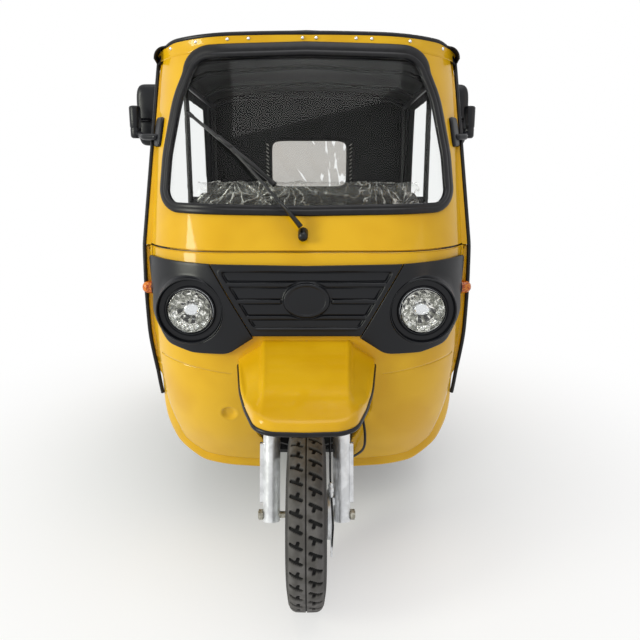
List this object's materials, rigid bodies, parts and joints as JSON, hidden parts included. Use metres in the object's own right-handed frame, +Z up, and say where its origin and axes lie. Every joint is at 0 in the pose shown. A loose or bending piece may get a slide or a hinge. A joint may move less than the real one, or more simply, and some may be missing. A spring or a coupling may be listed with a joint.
{
  "type": "electric rickshaw",
  "caption": "Passenger tricycle with a rounded yellow front, one steered front wheel, a cloth roof on tubes, bench seats, a rear lid and a motor axle at the back.",
  "frame": {"origin": "on the floor, under the middle of the length and width", "axes": "+Z up, the front faces -Y, +X is the vehicle's left side"},
  "size_m": [1.29, 2.65, 1.7154],
  "materials": {
    "yellow_enamel": "gloss",
    "black_moulding": "satin",
    "black_rubber": "matt",
    "screen_glass": "clear",
    "lamp_glass": "clear",
    "lamp_chrome": "polished",
    "amber_lens": "gloss",
    "red_lens": "gloss",
    "tyre_rubber": "matt",
    "wheel_silver": "satin",
    "fork_aluminium": "satin",
    "black_steel": "semi-gloss",
    "zinc_steel": "plated",
    "canopy_cloth": "coated cloth",
    "seat_vinyl": "grained",
    "clear_film": "clear film",
    "mirror_silver": "polished",
    "floor_paint": "matt"
  },
  "bodies": {
    "chassis": {"chassis_frame": "black_steel", "floor_pan": "floor_paint", "cowl_lower": "yellow_enamel", "cowl_upper": "yellow_enamel", "wheel_well": "black_steel", "headlamp_panels": "black_moulding", "grille_panel": "black_moulding", "headlamp_shells": "lamp_chrome", "headlamp_lenses": "lamp_glass", "front_indicators": "amber_lens", "windscreen_glass": "screen_glass", "windscreen_seal": "black_rubber", "wiper": "black_steel", "mirrors": "black_moulding", "mirror_glasses": "mirror_silver", "front_mudguard": "yellow_enamel", "mudguard_beading": "black_rubber", "door_edge_beading": "black_rubber", "arch_wire": "black_rubber", "dashboard": "black_moulding", "brake_pedal": "black_steel", "roof_frame": "black_steel", "canopy": "canopy_cloth", "rear_window": "clear_film", "partition": "black_steel", "driver_seat_box": "black_steel", "driver_seat": "seat_vinyl", "driver_backrest": "seat_vinyl", "passenger_seat": "seat_vinyl", "passenger_backrest": "seat_vinyl", "seat_base": "floor_paint", "battery_pack": "black_moulding", "rear_sides": "yellow_enamel", "rear_panel": "yellow_enamel", "tail_lamps": "red_lens", "rear_bumper": "black_steel", "rear_axle": "black_steel", "leaf_springs": "black_steel"},
    "rear_lid": {"rear_lid": "yellow_enamel"},
    "steering": {"fork_legs": "fork_aluminium", "fork_crown": "black_steel", "handlebar": "black_steel", "front_axle": "zinc_steel", "front_brake_plate": "fork_aluminium", "brake_cable": "black_rubber"},
    "front_wheel": {"front_tyre": "tyre_rubber", "front_rim": "wheel_silver"},
    "rear_wheel_right": {"rear_tyre_right": "tyre_rubber", "rear_rim_right": "wheel_silver"},
    "rear_wheel_left": {"rear_tyre_left": "tyre_rubber", "rear_rim_left": "wheel_silver"}
  },
  "joints": [
    {"name": "steering", "type": "hinge", "parent": "chassis", "child": "steering", "pos_m": [0, -0.89097, 0.71526], "axis": [0, 0.2924, 0.9563], "range_deg": [-35, 35]},
    {"name": "front_wheel_spin", "type": "hinge", "parent": "steering", "child": "front_wheel", "pos_m": [0, -1.06, 0.265], "axis": [1, 0, 0], "continuous": true},
    {"name": "rear_left_spin", "type": "hinge", "parent": "chassis", "child": "rear_wheel_left", "pos_m": [0.54, 0.94, 0.265], "axis": [1, 0, 0], "continuous": true},
    {"name": "rear_right_spin", "type": "hinge", "parent": "chassis", "child": "rear_wheel_right", "pos_m": [-0.54, 0.94, 0.265], "axis": [1, 0, 0], "continuous": true},
    {"name": "rear_lid_swing", "type": "hinge", "parent": "chassis", "child": "rear_lid", "pos_m": [0, 1.278, 0.85], "axis": [1, 0, 0], "range_deg": [0, 75]}
  ]
}
